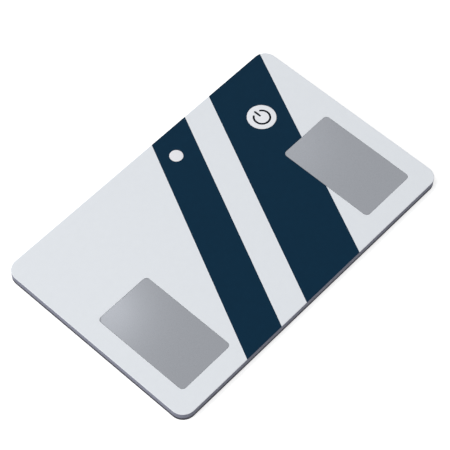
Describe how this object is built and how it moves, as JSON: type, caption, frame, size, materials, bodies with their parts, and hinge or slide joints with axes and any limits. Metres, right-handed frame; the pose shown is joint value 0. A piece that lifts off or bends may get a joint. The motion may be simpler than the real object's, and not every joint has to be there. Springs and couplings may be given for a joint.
{
  "type": "ecg home monitor",
  "caption": "Bank-card-sized ECG monitor: thin card with steel touch plates for the thumbs, a power key with a power sign, a status lens and printed slanted stripes.",
  "frame": {"origin": "middle of the back face, the face that the card lies on", "axes": "+X along the card's length, from the left plate to the right one; +Y across its width, towards the edge beside the status lens; +Z through its thickness, out of the front face"},
  "size_m": [0.0856, 0.054, 0.0025],
  "materials": {
    "panel_white": "satin printed film, very fine texture",
    "ink_navy": "printed ink, satin",
    "sign_ink": "printed ink, satin",
    "housing_grey": "moulded, fine texture",
    "cover_grey": "moulded, fine spark texture",
    "plate_steel": "fine bead-blasted satin",
    "key_white": "satin",
    "pusher_black": "matt silicone",
    "lens_white": "translucent, satin",
    "adhesive": "soft adhesive film",
    "spring_gold": "gold-plated",
    "board_green": "solder mask, semi-gloss",
    "tape_amber": "polyimide tape",
    "dome_steel": "bright spring steel",
    "chip_black": "moulded epoxy",
    "inductor_grey": "pressed ferrite",
    "crystal_can": "satin metal can",
    "antenna_ceramic": "ceramic",
    "capacitor_tan": "ceramic",
    "led_body": "clear resin over a white base",
    "cell_foil": "matt laminated foil",
    "tab_nickel": "nickel strip"
  },
  "bodies": {
    "card": {"back_cover": "cover_grey", "housing": "housing_grey", "front_film": "adhesive", "front_panel": "housing_grey", "face_print": "panel_white", "stripe_print": "ink_navy", "status_lens": "lens_white", "left_plate": "plate_steel", "right_plate": "plate_steel", "left_plate_pad": "adhesive", "right_plate_pad": "adhesive", "left_contact_spring": "spring_gold", "right_contact_spring": "spring_gold", "circuit_board": "board_green", "board_tape": "tape_amber", "snap_dome": "dome_steel", "dome_frame": "tape_amber", "status_led": "led_body", "radio_chip": "chip_black", "amplifier_chip": "chip_black", "regulator_chip": "chip_black", "power_inductor": "inductor_grey", "timing_crystal": "crystal_can", "chip_antenna": "antenna_ceramic", "capacitors": "capacitor_tan", "resistors": "chip_black", "surge_diodes": "chip_black", "pouch_cell": "cell_foil", "cell_tabs": "tab_nickel", "cell_tape": "adhesive"},
    "key": {"power_key": "key_white", "key_pusher": "pusher_black", "power_sign": "sign_ink"}
  },
  "joints": [
    {"name": "power_key_press", "type": "slide", "parent": "card", "child": "key", "axis": [0, 0, -1], "range_m": [0, 0.00025], "stiffness_N_per_m": 6000, "deforming": ["snap_dome"]}
  ]
}
